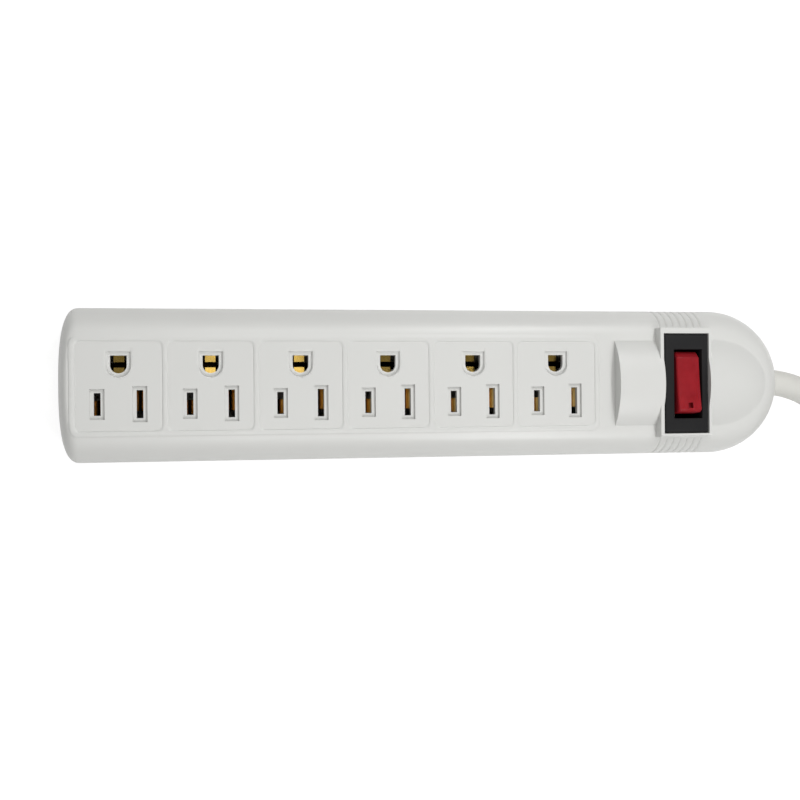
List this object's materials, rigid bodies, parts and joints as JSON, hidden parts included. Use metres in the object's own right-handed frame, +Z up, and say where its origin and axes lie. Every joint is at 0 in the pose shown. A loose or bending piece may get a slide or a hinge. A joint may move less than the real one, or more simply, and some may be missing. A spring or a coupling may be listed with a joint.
{
  "type": "power strip",
  "caption": "Long ivory power strip with grounded outlets, a lit red rocker switch in an arched saddle at the rounded end, and a short cord with a grounded plug.",
  "frame": {"origin": "on the base's bottom face, on the strip's centre line, 118.5 mm from the blunt end and 120.4 mm from the rounded end", "axes": "+X along the strip towards the cord end, +Y towards the ground holes, +Z up out of the outlet faces"},
  "size_m": [0.3714, 0.1686, 0.033],
  "materials": {
    "ivory_plastic": "satin moulded ABS",
    "base_plastic": "fine textured moulded ABS",
    "black_plastic": "satin nylon",
    "red_lens": "translucent red polycarbonate",
    "brass": "stamped brass",
    "steel": "zinc plated",
    "white_plastic": "nylon",
    "cord_jacket": "soft ivory PVC",
    "plug_plastic": "moulded PVC",
    "wire_black": "PVC insulation",
    "wire_white": "PVC insulation",
    "wire_green": "PVC insulation",
    "lamp_glass": "clear glass envelope",
    "resistor": "lacquered"
  },
  "bodies": {
    "housing": {"top_cover": "ivory_plastic", "base_cover": "base_plastic", "switch_case": "black_plastic", "rocker_pin": "steel", "line_in_terminal": "brass", "line_out_terminal": "brass", "lamp_terminal": "brass", "neon_lamp": "lamp_glass", "lamp_resistor": "resistor", "line_bus_bar": "brass", "neutral_bus_bar": "brass", "ground_bus_bar": "brass", "cord_clamp": "white_plastic", "clamp_screw_1": "steel", "clamp_screw_2": "steel", "cord_jacket": "cord_jacket", "line_wire": "wire_black", "neutral_wire": "wire_white", "ground_wire": "wire_green", "line_jumper_wire": "wire_black", "lamp_wire": "wire_white", "plug_body": "plug_plastic", "plug_bridge": "black_plastic", "plug_line_blade": "brass", "plug_neutral_blade": "brass", "plug_ground_pin": "brass", "housing_screw_1": "steel", "housing_screw_2": "steel", "housing_screw_3": "steel", "housing_screw_4": "steel", "housing_screw_5": "steel", "housing_screw_6": "steel"},
    "rocker": {"rocker": "red_lens", "plunger": "white_plastic", "plunger_spring": "steel"},
    "lever": {"contact_lever": "brass"}
  },
  "joints": [
    {"name": "rocker_tilt", "type": "hinge", "parent": "housing", "child": "rocker", "pos_m": [0.0829, -0.0008, 0.025], "axis": [1, 0, 0], "range_deg": [0, 13]},
    {"name": "lever_tilt", "type": "hinge", "parent": "housing", "child": "lever", "pos_m": [0.0829, -0.0008, 0.014], "axis": [1, 0, 0], "range_deg": [-10, 0]}
  ],
  "couplings": [
    {"joint": "lever_tilt", "follows": "rocker_tilt", "ratio": -0.769}
  ]
}
